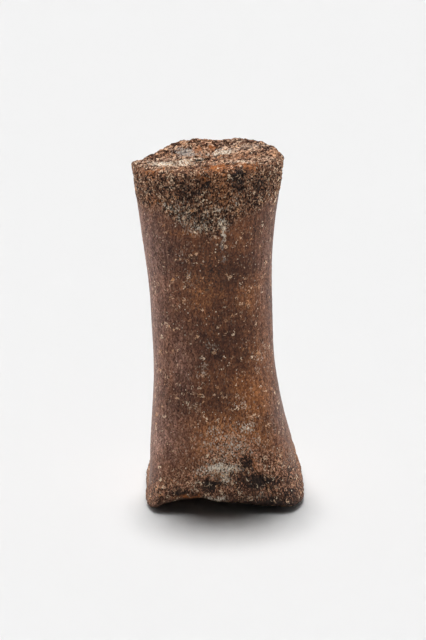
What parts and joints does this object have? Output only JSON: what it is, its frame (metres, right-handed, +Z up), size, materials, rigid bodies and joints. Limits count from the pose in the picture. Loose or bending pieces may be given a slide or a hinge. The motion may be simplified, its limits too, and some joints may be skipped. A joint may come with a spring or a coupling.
{
  "type": "whale metacarpal bone",
  "caption": "Short, stout hourglass-shaped flipper bone with rough, spongy ends, standing upright on its broad lower end.",
  "frame": {"origin": "on the floor, under the middle of the bone's bounding box", "axes": "+Z up along the bone's shaft, +X to the right of the pictured face, +Y away from it, so the pictured face looks along -Y"},
  "size_m": [0.0902, 0.0652, 0.1892],
  "materials": {
    "bone": "aged dark brown bone, semi-gloss smooth shaft and dull, open-pored ends"
  },
  "bodies": {
    "root": {"metacarpal": "bone"}
  },
  "joints": []
}
